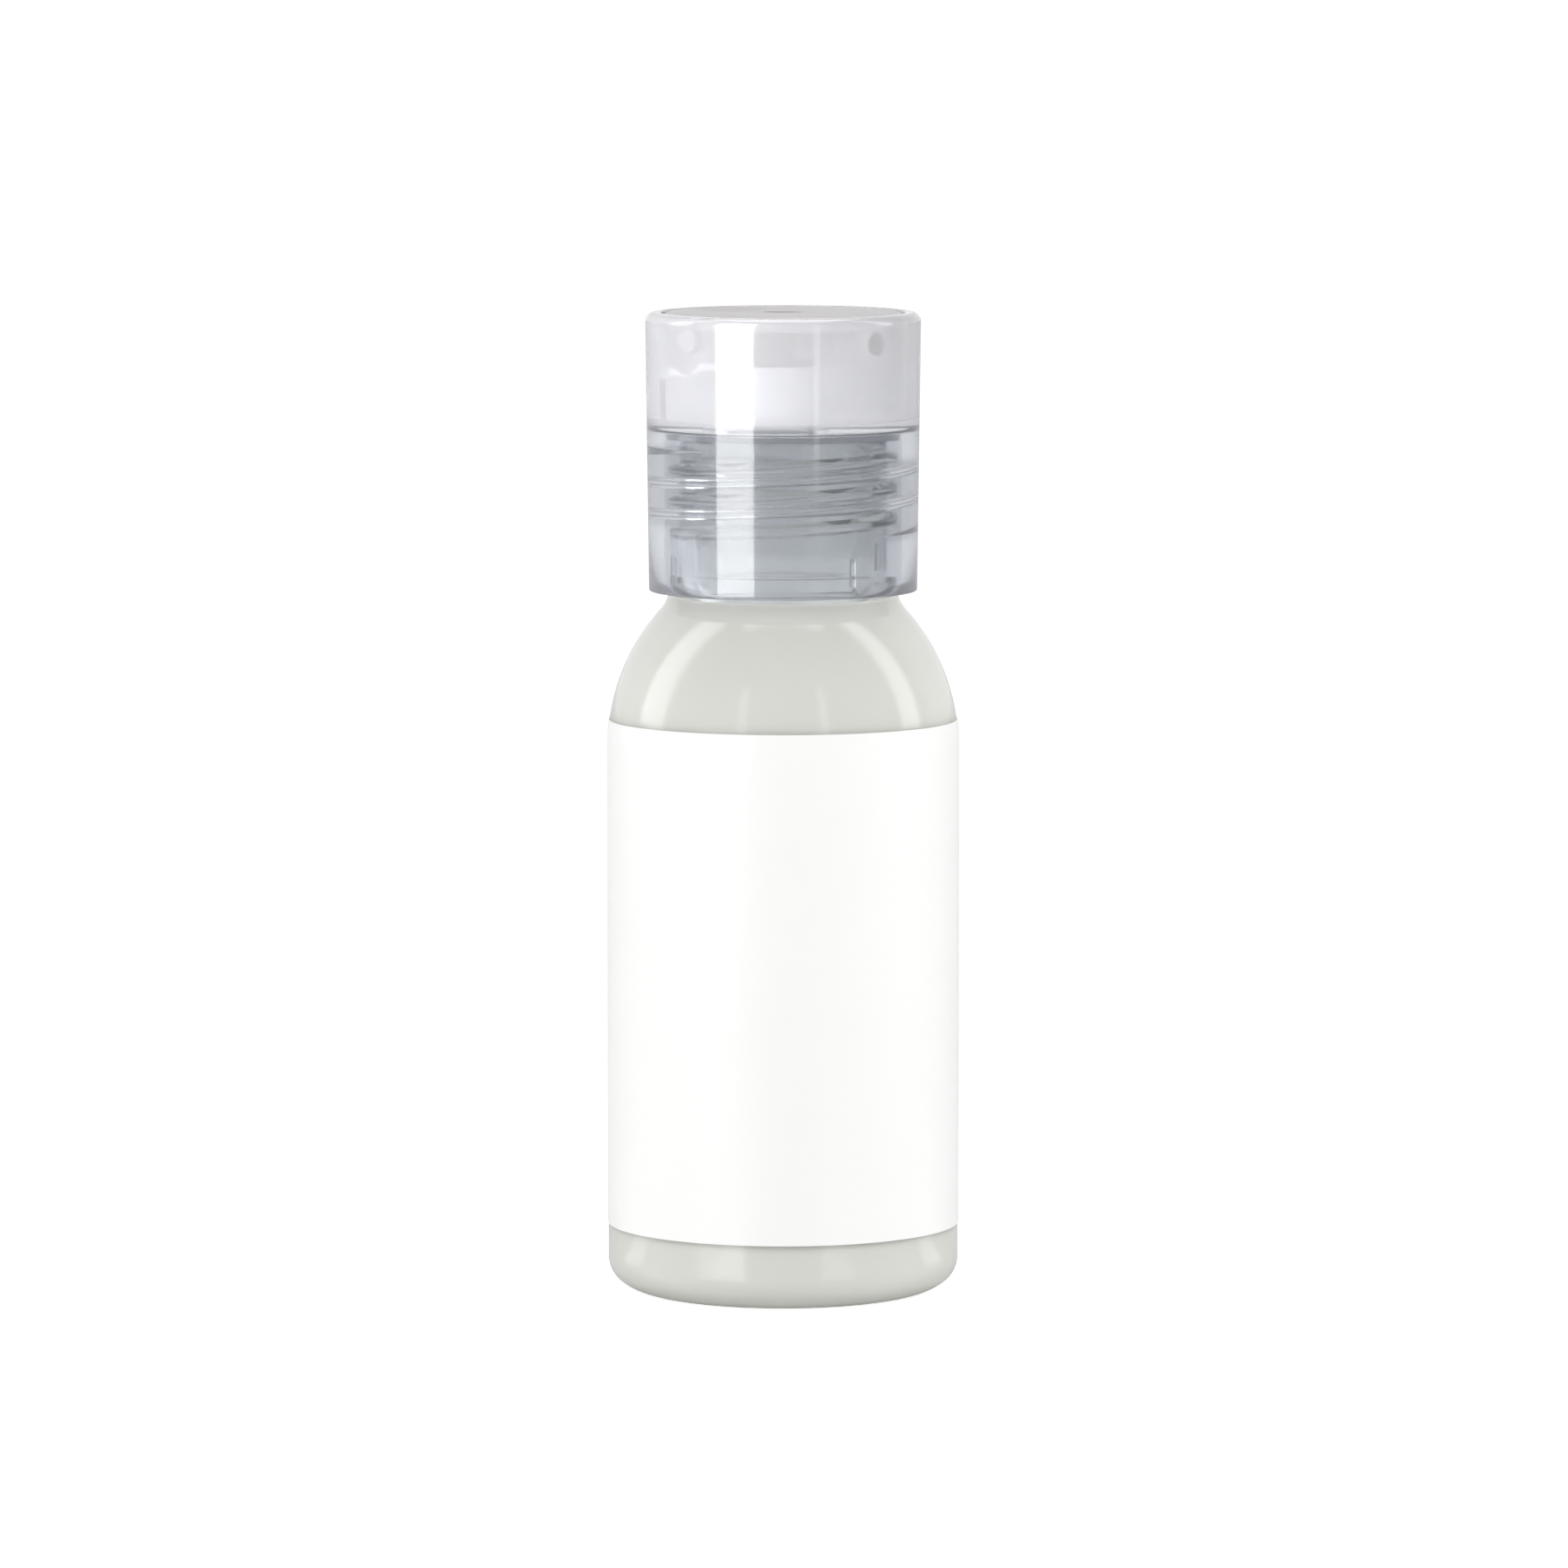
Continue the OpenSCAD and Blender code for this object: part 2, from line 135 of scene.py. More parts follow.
# Outlines are lists of (radius, height) in millimetres


def mm(value):
    return value / MM


def arc(centre, radius, start, end, count):
    """Points on an arc, from one angle to the other in degrees."""
    turns = [math.radians(start + (end - start) * i / count) for i in range(count + 1)]
    return [(centre[0] + radius * math.cos(a), centre[1] + radius * math.sin(a)) for a in turns]


def eased(points, radius, count=3):
    """The outline with each corner rounded to the radius. A corner on the axis is kept."""
    out = [points[0]]
    for before, here, after in zip(points, points[1:], points[2:]):
        a, b, c = Vector(before), Vector(here), Vector(after)
        u, v = (a - b), (c - b)
        turn = u.angle(v, math.pi)
        if turn > math.radians(150) or min(u.length, v.length) < 2.2 * radius:
            out.append(here)
            continue
        reach = radius / math.tan(turn / 2)
        if reach > 0.45 * min(u.length, v.length):
            out.append(here)
            continue
        first, last = b + u.normalized() * reach, b + v.normalized() * reach
        for i in range(count + 1):
            t = i / count
            point = first * (1 - t) ** 2 + b * 2 * t * (1 - t) + last * t ** 2
            out.append(tuple(point))
    return out + [points[-1]]


def bottle_outline(s, inset, neck, fillet, top):
    """Half section of the bottle's form from the foot up to the neck's rim, inset from the outside."""
    body, shoulder = mm(s.body_r) - inset, mm(s.shoulder_r) - inset
    side, foot, join = 2.9, 5.5, 54
    low = (mm(s.body_r) - side - (foot - side) * math.cos(math.radians(join)), foot)
    high = (mm(s.body_r) - side, foot - (foot - side) * math.sin(math.radians(join)))
    centre = (body - shoulder, mm(s.shoulder_z))
    turn_up = centre[1] + math.sqrt((shoulder + fillet) ** 2 - (neck + fillet - centre[0]) ** 2)
    rise = math.degrees(math.atan2(turn_up - centre[1], neck + fillet - centre[0]))
    points = arc(low, foot - inset, -90, -join, 10) + arc(high, side - inset, -join, 0, 10)[1:]
    points += [(body, 7 + 49.2 * i / 12) for i in range(13)]
    points += arc(centre, shoulder, 0, rise, 36)[1:]
    points += arc((neck + fillet, turn_up), fillet, 180 + rise, 180, 14)[1:]
    return points + [(neck, top)]


def dome(s, extra, edge):
    """The push-up's arc from the axis out to the radius edge."""
    rise, foot = mm(s.push_up), 12.77
    radius = (foot ** 2 + rise ** 2) / (2 * rise)
    reach = math.degrees(math.asin(edge / (radius + extra)))
    return arc((0, rise - radius), radius + extra, 90, 90 - reach, 16)


# Meshes


def new_piece(name, mesh, material):
    """An object at the origin that wears one material."""
    piece = bpy.data.objects.new(name, mesh)
    bpy.context.scene.collection.objects.link(piece)
    if material:
        mesh.materials.append(material)
    return piece


def lathe(name, outline, steps, material=None, closed=False):
    """Turns an outline about the Z axis. An open outline starts and ends on the axis."""
    work = bmesh.new()
    rings = []
    for r, z in outline:
        if abs(r) < 1e-6:
            rings.append([work.verts.new((0, 0, z * MM))])
            continue
        turns = [2 * math.pi * i / steps for i in range(steps)]
        ring = [Vector((r * math.cos(a), r * math.sin(a), z)) * MM for a in turns]
        rings.append([work.verts.new(point) for point in ring])
    pairs = list(zip(rings, rings[1:])) + ([(rings[-1], rings[0])] if closed else [])
    for lower, upper in pairs:
        for i in range(steps):
            j = (i + 1) % steps
            loop = [lower[i % len(lower)], lower[j % len(lower)]]
            loop += [upper[j % len(upper)], upper[i % len(upper)]]
            loop = [v for k, v in enumerate(loop) if v not in loop[:k]]
            if len(loop) > 2:
                work.faces.new(loop)
    bmesh.ops.recalc_face_normals(work, faces=work.faces)
    mesh = bpy.data.meshes.new(name)
    work.to_mesh(mesh)
    work.free()
    return new_piece(name, mesh, material)


def block(name, low, high, ease=0.15):
    """A box between two corners in millimetres, with eased edges."""
    work = bmesh.new()
    bmesh.ops.create_cube(work, size=1)
    for v in work.verts:
        v.co = Vector([(lo + hi) / 2 + c * (hi - lo) for c, lo, hi in zip(v.co, low, high)]) * MM
    bmesh.ops.bevel(
        work, geom=list(work.edges), offset=ease * MM, segments=2, profile=0.6, affect="EDGES",
        clamp_overlap=True,
    )
    mesh = bpy.data.meshes.new(name)
    work.to_mesh(mesh)
    work.free()
    return new_piece(name, mesh, None)


def turned(piece, *matrices):
    """Moves a piece's mesh and leaves its object at the origin."""
    for matrix in matrices:
        piece.data.transform(matrix)
    return piece


def combine(piece, others, operation):
    """Joins solids to a piece or cuts them out of it, and removes the helpers."""
    for other in others:
        step = piece.modifiers.new(operation, "BOOLEAN")
        step.operation = operation
        step.solver = "MANIFOLD"
        step.object = other
    bake_modifiers(piece)
    for other in others:
        bpy.data.objects.remove(other, do_unlink=True)
    return piece


def bake_modifiers(piece):
    """Turns what the modifiers make into the piece's own plain mesh."""
    bpy.context.view_layer.update()
    graph = bpy.context.evaluated_depsgraph_get()
    made = bpy.data.meshes.new_from_object(piece.evaluated_get(graph))
    if not made.polygons:
        raise RuntimeError(f"{piece.name} came out empty")
    old = piece.data
    piece.modifiers.clear()
    piece.data = made
    made.name = old.name
    bpy.data.meshes.remove(old)
    return piece


def shade(piece, angle=32):
    """Smooth faces that stay crisp where they meet at more than the angle."""
    work = bmesh.new()
    work.from_mesh(piece.data)
    bmesh.ops.remove_doubles(work, verts=work.verts, dist=1e-7)
    work.to_mesh(piece.data)
    work.free()
    piece.data.shade_smooth()
    piece.data.set_sharp_from_angle(angle=math.radians(angle))
    return piece


def dress(piece, body, slot, *nodes):
    """Puts a finished piece on its body in the place of the solids it stands for."""
    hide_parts(*nodes)
    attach(piece, body)


# Node trees


def node(tree, kind, inputs=None, **settings):
    """Adds a node. An input is named or numbered, and takes a value or another node's output."""
    made = tree.nodes.new(kind)
    for key, value in settings.items():
        setattr(made, key, value)
    for key, value in (inputs or {}).items():
        socket = made.inputs[key]
        if isinstance(value, bpy.types.NodeSocket):
            tree.links.new(value, socket)
        else:
            socket.default_value = value
    return made


def maths(tree, operation, first, second=0.0):
    return node(tree, "ShaderNodeMath", {0: first, 1: second}, operation=operation).outputs[0]


def group(name, numbers, takes=("Wall",)):
    """A geometry node tree with named inputs. Returns it, its input node and the names."""
    tree = bpy.data.node_groups.new(name, "GeometryNodeTree")
    for label in takes:
        tree.interface.new_socket(name=label, in_out="INPUT", socket_type="NodeSocketGeometry")
    for label in numbers:
        tree.interface.new_socket(name=label, in_out="INPUT", socket_type="NodeSocketFloat")
    tree.interface.new_socket(name="Material", in_out="INPUT", socket_type="NodeSocketMaterial")
    tree.interface.new_socket(name="Geometry", in_out="OUTPUT", socket_type="NodeSocketGeometry")
    return tree, tree.nodes.new("NodeGroupInput")


def end_tree(tree, given, geometry):
    """Ends a tree in Realize Instances and Set Material."""
    real = node(tree, "GeometryNodeRealizeInstances", {"Geometry": geometry})
    coloured = node(tree, "GeometryNodeSetMaterial", {
        "Geometry": real.outputs[0], "Material": given.outputs["Material"],
    })
    node(tree, "NodeGroupOutput", {"Geometry": coloured.outputs[0]})
    return tree


def thread_tree():
    """A trapezoid thread that climbs a wall, fades at both ends and is one solid with the wall."""
    tree, given = group("Screw thread", (
        "Wall radius", "Height", "Root", "Foot width", "Crest width", "Pitch", "Turns", "Top", "End angle",
        "Side", "Ease",
    ))
    get = given.outputs
    line = node(tree, "GeometryNodeCurvePrimitiveLine")
    path = node(tree, "GeometryNodeResampleCurve", {"Curve": line.outputs[0], "Count": 240})
    along = node(tree, "GeometryNodeSplineParameter").outputs["Factor"]
    back = maths(tree, "MULTIPLY", maths(tree, "SUBTRACT", 1.0, along), get["Turns"])
    angle = maths(tree, "SUBTRACT", get["End angle"], maths(tree, "MULTIPLY", back, 2 * math.pi))
    place = node(tree, "ShaderNodeCombineXYZ", {
        "X": maths(tree, "MULTIPLY", maths(tree, "COSINE", angle), get["Wall radius"]),
        "Y": maths(tree, "MULTIPLY", maths(tree, "SINE", angle), get["Wall radius"]),
        "Z": maths(tree, "SUBTRACT", get["Top"], maths(tree, "MULTIPLY", back, get["Pitch"])),
    })
    helix = node(tree, "GeometryNodeSetPosition", {
        "Geometry": path.outputs[0], "Position": place.outputs[0],
    })
    upright = node(tree, "GeometryNodeSetCurveNormal", {"Curve": helix.outputs[0]}, mode="Z_UP")
    section = node(tree, "GeometryNodeCurvePrimitiveQuadrilateral", {
        "Height": maths(tree, "ADD", get["Height"], get["Root"]),
        "Bottom Width": get["Foot width"],
        "Top Width": get["Crest width"],
        "Offset": 0.0,
    }, mode="TRAPEZOID")
    eased_section = node(tree, "GeometryNodeFilletCurve", {
        "Curve": section.outputs[0], "Count": 3, "Radius": get["Ease"], "Limit Radius": True,
    }, mode="POLY")
    middle = maths(tree, "MULTIPLY", maths(tree, "SUBTRACT", get["Height"], get["Root"]), 0.5)
    shift = node(tree, "ShaderNodeCombineXYZ", {"Y": middle})
    raised = node(tree, "GeometryNodeTransform", {
        "Geometry": eased_section.outputs[0], "Translation": shift.outputs[0],
    })
    # The section stands along Y, and is laid along the sweep's X, outwards or inwards
    lean = node(tree, "ShaderNodeCombineXYZ", {"Z": maths(tree, "MULTIPLY", get["Side"], -math.pi / 2)})
    aimed = node(tree, "GeometryNodeTransform", {
        "Geometry": raised.outputs[0], "Rotation": lean.outputs[0],
    })
    nearest = maths(tree, "MINIMUM", along, maths(tree, "SUBTRACT", 1.0, along))
    fade = maths(tree, "MULTIPLY", maths(tree, "MULTIPLY", nearest, get["Turns"]), 6.0)
    scale = maths(tree, "MAXIMUM", maths(tree, "MINIMUM", fade, 1.0), 0.05)
    swept = node(tree, "GeometryNodeCurveToMesh", {
        "Curve": upright.outputs[0], "Profile Curve": aimed.outputs[0], "Scale": scale,
        "Fill Caps": True,
    })
    united = node(tree, "GeometryNodeMeshBoolean", operation="UNION", solver="MANIFOLD")
    tree.links.new(get["Wall"], united.inputs["Mesh 2"])
    tree.links.new(swept.outputs[0], united.inputs["Mesh 2"])
    return end_tree(tree, given, united.outputs[0])


def rib_tree():
    """Short upright ribs at equal steps round a wall, one solid with it."""
    tree, given = group("Ribs on a wall", (
        "Radius", "Depth", "Width", "Height", "Foot", "Angle", "Step", "Count",
    ))
    get = given.outputs
    size = node(tree, "ShaderNodeCombineXYZ", {"X": get["Depth"], "Y": get["Width"], "Z": get["Height"]})
    rib = node(tree, "GeometryNodeMeshCube", {"Size": size.outputs[0]})
    line = node(tree, "GeometryNodeMeshLine", {"Count": maths(tree, "ADD", get["Count"], 0.0)})
    turn = maths(
        tree, "ADD", get["Angle"],
        maths(tree, "MULTIPLY", node(tree, "GeometryNodeInputIndex").outputs[0], get["Step"]),
    )
    place = node(tree, "ShaderNodeCombineXYZ", {
        "X": maths(tree, "MULTIPLY", maths(tree, "COSINE", turn), get["Radius"]),
        "Y": maths(tree, "MULTIPLY", maths(tree, "SINE", turn), get["Radius"]),
        "Z": maths(tree, "ADD", get["Foot"], maths(tree, "MULTIPLY", get["Height"], 0.5)),
    })
    points = node(tree, "GeometryNodeSetPosition", {
        "Geometry": line.outputs[0], "Position": place.outputs[0],
    })
    facing = node(tree, "ShaderNodeCombineXYZ", {"Z": turn})
    aimed = node(tree, "FunctionNodeEulerToRotation", {0: facing.outputs[0]})
    ribs = node(tree, "GeometryNodeInstanceOnPoints", {
        "Points": points.outputs[0], "Instance": rib.outputs[0], "Rotation": aimed.outputs[0],
    })
    solid = node(tree, "GeometryNodeRealizeInstances", {"Geometry": ribs.outputs[0]})
    united = node(tree, "GeometryNodeMeshBoolean", operation="UNION", solver="MANIFOLD")
    tree.links.new(get["Wall"], united.inputs["Mesh 2"])
    tree.links.new(solid.outputs[0], united.inputs["Mesh 2"])
    return end_tree(tree, given, united.outputs[0])


def grow(piece, tree, values, material):
    """Runs a node tree on a piece and keeps the result as its plain mesh."""
    step = piece.modifiers.new(tree.name, "NODES")
    step.node_group = tree
    for item in tree.interface.items_tree:
        if item.in_out == "INPUT" and item.name in values:
            step[item.identifier] = float(values[item.name])
        elif item.in_out == "INPUT" and item.name == "Material":
            step[item.identifier] = material
    return bake_modifiers(piece)


# Materials


def new_material(name):
    """A material with an empty tree. Returns it, its tree and its output node."""
    material = bpy.data.materials.new(name)
    material.use_nodes = True
    tree = material.node_tree
    tree.nodes.clear()
    return material, tree, tree.nodes.new("ShaderNodeOutputMaterial")


def noise(tree, size_mm, detail=2.0, stretch=(1, 1, 1)):
    """Noise on Object coordinates whose features are about size_mm across."""
    place = node(tree, "ShaderNodeTexCoord").outputs["Object"]
    mapped = node(tree, "ShaderNodeMapping", {"Vector": place, "Scale": stretch})
    return node(tree, "ShaderNodeTexNoise", {
        "Vector": mapped.outputs[0], "Scale": 1 / (size_mm * MM), "Detail": detail,
    }).outputs["Fac"]


def ranged(tree, value, low, high):
    return node(tree, "ShaderNodeMapRange", {"Value": value, "To Min": low, "To Max": high}).outputs[0]


def mixed_colour(tree, factor, first, second):
    mix = node(tree, "ShaderNodeMix", data_type="RGBA")
    for socket, value in zip([i for i in mix.inputs if i.type == "RGBA"], (first, second)):
        socket.default_value = (*value, 1)
    tree.links.new(factor, [i for i in mix.inputs if i.type == "VALUE"][0])
    return [o for o in mix.outputs if o.type == "RGBA"][0]


def scaled(colour_value, share):
    return tuple(c * share for c in colour_value)


def bump(tree, height, depth_mm):
    return node(tree, "ShaderNodeBump", {
        "Height": height, "Distance": depth_mm * MM, "Strength": 1.0,
    }).outputs[0]


def by_height(tree, low_mm, high_mm, below, above):
    """A value that changes from one level to the other between two heights."""
    place = node(tree, "ShaderNodeTexCoord").outputs["Object"]
    height = node(tree, "ShaderNodeSeparateXYZ", {0: place}).outputs["Z"]
    return node(tree, "ShaderNodeMapRange", {
        "Value": height, "From Min": low_mm * MM, "From Max": high_mm * MM,
        "To Min": below, "To Max": above,
    }).outputs[0]


def pass_lamps(tree, surface, tint, output):
    """Soft light shines through the shader, so what it shuts in is lit as through the real thin wall."""
    rays = node(tree, "ShaderNodeLightPath").outputs
    soft = maths(tree, "MAXIMUM", rays["Is Shadow Ray"], rays["Is Diffuse Ray"])
    clear = node(tree, "ShaderNodeBsdfTransparent", {"Color": (*tint, 1)})
    mix = node(tree, "ShaderNodeMixShader", {0: soft, 1: surface, 2: clear.outputs[0]})
    tree.links.new(mix.outputs[0], output.inputs["Surface"])


def blown_pet(tint):
    """Clear PET, stretch-blown: water-clear and faintly wavy, with a crisper gloss on the moulded neck."""
    material, tree, out = new_material("blown clear PET")
    flow = noise(tree, 9, 1.0, (1, 1, 0.35))
    gloss = by_height(tree, 72, 74, 0.17, 0.05)
    shell = node(tree, "ShaderNodeBsdfPrincipled", {
        "Base Color": mixed_colour(tree, noise(tree, 14), tint, scaled(tint, 0.985)),
        "Roughness": maths(tree, "MULTIPLY", gloss, ranged(tree, noise(tree, 5), 0.85, 1.0)),
        "IOR": 1.5,
        "Transmission Weight": 1.0,
        "Normal": bump(tree, flow, 0.02),
    })
    pass_lamps(tree, shell.outputs[0], tint, out)
    return material


def lotion_cream(tint):
    """Lotion, an opaque water-based cream: smooth, soft and very slightly clouded."""
    material, tree, out = new_material("white lotion")
    cream = node(tree, "ShaderNodeBsdfPrincipled", {
        "Base Color": mixed_colour(tree, noise(tree, 6, 3.0), tint, scaled(tint, 0.965)),
        "Roughness": ranged(tree, noise(tree, 3), 0.4, 0.5),
        "IOR": 1.36,
        "Specular IOR Level": 0.2,
        "Normal": bump(tree, noise(tree, 5, 1.0), 0.02),
    })
    tree.links.new(cream.outputs[0], out.inputs["Surface"])
    return material


def label_film(tint):
    """White polypropylene label film, satin coated: even, with a soft broad highlight."""
    material, tree, out = new_material("satin white polypropylene film")
    film = node(tree, "ShaderNodeBsdfPrincipled", {
        "Base Color": mixed_colour(tree, noise(tree, 7, 3.0), tint, scaled(tint, 0.985)),
        "Roughness": ranged(tree, noise(tree, 0.8, 2.0), 0.38, 0.46),
        "IOR": 1.49,
        "Normal": bump(tree, noise(tree, 0.7, 2.0), 0.004),
    })
    tree.links.new(film.outputs[0], out.inputs["Surface"])
    return material


def gasket_foam(tint):
    """Expanded polyethylene liner, die cut: dull grey with fine closed cells."""
    material, tree, out = new_material("expanded polyethylene foam")
    cells = node(tree, "ShaderNodeTexVoronoi", {
        "Vector": node(tree, "ShaderNodeTexCoord").outputs["Object"], "Scale": 1 / (0.35 * MM),
    }).outputs["Distance"]
    foam = node(tree, "ShaderNodeBsdfPrincipled", {
        "Base Color": mixed_colour(tree, cells, tint, scaled(tint, 0.8)),
        "Roughness": 0.8,
        "Normal": bump(tree, cells, 0.05),
    })
    tree.links.new(foam.outputs[0], out.inputs["Surface"])
    return material


DECK_UNDER, DECK_OVER = 88.7, 90   # heights between which the skirt's clear plastic turns into the top's milkier plastic, and the skirt's darker tint of painted shade gives way to the top's own tint, in mm


def milkiness(tree, skirt, wall, thick):
    """How milky the cap's plastic is: in the skirt, in the wall round the well, and inside the well."""
    place = node(tree, "ShaderNodeTexCoord").outputs["Object"]
    parts = node(tree, "ShaderNodeSeparateXYZ", {0: place}).outputs
    flat = node(tree, "ShaderNodeCombineXYZ", {"X": parts["X"], "Y": parts["Y"]})
    radius = node(tree, "ShaderNodeVectorMath", {0: flat.outputs[0]}, operation="LENGTH")
    upper = node(tree, "ShaderNodeMapRange", {
        "Value": radius.outputs["Value"], "From Min": 12.1 * MM, "From Max": 12.5 * MM,
        "To Min": thick, "To Max": wall,
    }).outputs[0]
    return by_height(tree, DECK_UNDER, DECK_OVER, skirt, upper)


def moulded_pp(name, tint, haze, milk, thin=None):
    """Natural polypropylene, injection moulded: see-through where thin, milkier where thick.

    milk is one level, or three levels for milkiness() where a thin tint for the skirt is given too. That
    skirt tint is darker than the milky tint: painted shade, standing in for the dimmer things seen through
    the clear skirt.
    """
    material, tree, out = new_material(name)
    clouds = noise(tree, 5, 3.0)
    if thin:
        # Below the deck the colour is wholly the skirt's darker tint of painted shade; above it, clouds mix
        # in up to 15% of that tint as a random tone.
        place = by_height(tree, DECK_UNDER, DECK_OVER, 1.0, maths(tree, "MULTIPLY", clouds, 0.15))
        base = mixed_colour(tree, place, tint, thin)
        clearness = maths(tree, "SUBTRACT", 1.0, milkiness(tree, *milk))
    else:
        base = mixed_colour(tree, clouds, tint, scaled(tint, 0.965))
        clearness = 1 - milk
    body = node(tree, "ShaderNodeBsdfPrincipled", {
        "Base Color": base,
        "Roughness": ranged(tree, noise(tree, 3, 3.0), haze, haze + 0.04),
        "IOR": 1.49,
        "Transmission Weight": clearness,
        "Normal": bump(tree, noise(tree, 6, 2.0), 0.015),
    })
    if thin:
        pass_lamps(tree, body.outputs[0], tint, out)
    else:
        tree.links.new(body.outputs[0], out.inputs["Surface"])
    return material


# The stage


# Collections that say whether a lamp shines on the cap alone, or on everything but the cap
ON_CAP, NOT_ON_CAP = "lit with the cap", "lit without the cap"


class BOTTLE_OT_stage(bpy.types.Operator):
    """Builds the pale floor, the soft studio light and the camera"""

    bl_idname = "bottle.stage"
    bl_label = "Stage"

    def execute(self, context):
        scene = context.scene
        scene.view_settings.view_transform = "Standard"
        self.floor()
        self.world(scene)
        # Soft fills light the surfaces, and the rest are only seen as reflections
        fill, body, cap = (0.30, 0.30), (0, 0, 0.05), (0, 0, 0.09)
        self.lamp("left fill", (-0.50, -0.18, 0.16), body, fill, 1.0, mirrored=False)
        right = self.lamp("right fill", (0.50, -0.18, 0.16), body, fill, 1.02, mirrored=False)
        right.light_linking.receiver_collection = bpy.data.collections.new(NOT_ON_CAP)
        self.lamp("front fill", (0, -0.75, 0.45), body, (0.50, 0.30), 1.1, mirrored=False)
        self.lamp("key softbox", (-0.26, -0.30, 0.055), (0, 0, 0.055), (0.235, 0.09), 0.5, lights=False)
        # The cap has its own key and fills, stronger on the left than the ones that light the bottle
        caps = [
            self.lamp("cap key", (-0.26, -0.30, 0.265), (0, 0, 0.265), (0.235, 0.47), 7.5, lights=False),
            self.lamp("cap left fill", (-0.27, -0.46, 0.16), cap, fill, 1.4, mirrored=False),
            self.lamp("cap right fill", (0.50, -0.18, 0.16), cap, fill, 0.4, mirrored=False),
        ]
        with_cap = bpy.data.collections.new(ON_CAP)
        for lamp in caps:
            lamp.light_linking.receiver_collection = with_cap
        self.lamp("overhead softbox", (0, 0.10, 0.80), (0, 0, 0.05), (0.60, 0.60), 5.0, lights=False)
        self.lamp(
            "left strip", (-0.50, 0.07, 0.525), (0, 0.04, 0.525), (0.21, 0.85), 2.0,
            lights=False, through=True,
        )
        self.lamp("right strip", (0.50, 0.04, 0.525), (0, 0.04, 0.525), (0.15, 0.85), 1.35, lights=False)
        self.lamp("left front strip", (-0.28, -0.53, 0.28), (0, 0, 0.28), (0.06, 0.38), 0.14, lights=False)
        self.lamp("right front strip", (0.28, -0.53, 0.25), (0, 0, 0.25), (0.05, 0.44), 0.16, lights=False)
        for turn in (-92, -27.8, 27.8, 92):
            self.floor_glow(math.radians(turn))
        self.camera(scene)
        return {"FINISHED"}

    def floor(self):
        """A white floor that the camera sees a little lighter than it is, with the shadow on it."""
        mesh = bpy.data.meshes.new("floor")
        reach = 6.0
        corners = [(-reach, -reach, 0), (reach, -reach, 0), (reach, reach, 0), (-reach, reach, 0)]
        mesh.from_pydata(corners, [], [(0, 1, 2, 3)])
        material, tree, out = new_material("white matt paper")
        rays = node(tree, "ShaderNodeLightPath").outputs
        # What the bottle and its cap mirror and what shows through them is a greyer floor
        darker = maths(tree, "MAXIMUM", rays["Is Glossy Ray"], rays["Is Transmission Ray"])
        paper = node(tree, "ShaderNodeBsdfPrincipled", {
            "Base Color": mixed_colour(tree, darker, linear("F4F4F4"), linear("BCBDC0")),
            "Roughness": 0.2,
            "Specular IOR Level": maths(tree, "MULTIPLY", rays["Is Glossy Ray"], 0.5),
        })
        soft = maths(tree, "MULTIPLY", rays["Is Diffuse Ray"], 0.1)
        glow = node(tree, "ShaderNodeMapRange", {
            "Value": rays["Is Camera Ray"], "To Min": soft, "To Max": 0.55,
        })
        lift = node(tree, "ShaderNodeEmission", {"Color": (1, 1, 1, 1), "Strength": glow.outputs[0]})
        both = node(tree, "ShaderNodeAddShader", {0: paper.outputs[0], 1: lift.outputs[0]})
        tree.links.new(both.outputs[0], out.inputs["Surface"])
        new_piece("floor", mesh, material)

    def world(self, scene):
        """White for the camera and behind the object, and a grey room in front for what is mirrored."""
        world = bpy.data.worlds.new("white studio")
        scene.world = world
        world.use_nodes = True
        tree = world.node_tree
        tree.nodes.clear()
        way = node(tree, "ShaderNodeTexCoord").outputs["Generated"]
        parts = node(tree, "ShaderNodeSeparateXYZ", {0: way}).outputs
        side = node(tree, "ShaderNodeMapRange", {
            "Value": parts["X"], "From Min": -1.0, "From Max": 1.0, "To Min": 0.5, "To Max": 0.1,
        }).outputs[0]
        rays = node(tree, "ShaderNodeLightPath").outputs
        depth = maths(tree, "ADD", parts["Y"], maths(tree, "MULTIPLY", rays["Is Glossy Ray"], 0.35))
        behind = node(tree, "ShaderNodeMapRange", {
            "Value": depth, "From Min": 0.6, "From Max": 0.9, "To Min": side, "To Max": 1.0,
        }).outputs[0]
        mirrored = maths(tree, "MAXIMUM", rays["Is Glossy Ray"], rays["Is Transmission Ray"])
        room = node(tree, "ShaderNodeMapRange", {
            "Value": mirrored, "To Min": 0.6, "To Max": behind,
        }).outputs[0]
        level = maths(tree, "MAXIMUM", room, rays["Is Camera Ray"])
        light = node(tree, "ShaderNodeBackground", {"Color": (1, 1, 1, 1), "Strength": level})
        node(tree, "ShaderNodeOutputWorld", {"Surface": light.outputs[0]})

    def lamp(self, name, place, aim, size, power, mirrored=True, lights=True, through=False):
        """An area lamp. It may be mirrored, light surfaces, and be seen through clear pieces."""
        light = bpy.data.lights.new(name, "AREA")
        light.shape = "RECTANGLE"
        light.size, light.size_y = size
        light.energy = power
        lamp = bpy.data.objects.new(name, light)
        lamp.location = place
        lamp.rotation_euler = (Vector(aim) - Vector(place)).to_track_quat("-Z", "Y").to_euler()
        lamp.visible_camera = False
        lamp.visible_transmission = through
        lamp.visible_glossy = mirrored
        lamp.visible_diffuse = lights
        bpy.context.scene.collection.objects.link(lamp)
        return lamp

    def floor_glow(self, turn):
        """A light strip that lies on the floor and points away from the base, which mirrors it."""
        way = Vector((math.sin(turn), -math.cos(turn), 0))
        middle, lift = 0.073, Vector((0, 0, 0.0003))
        glow = self.lamp("floor strip", way * middle + lift, (0, 0, 1), (0.011, 0.080), 0.0035, lights=False)
        glow.rotation_euler = (math.pi, 0, turn)

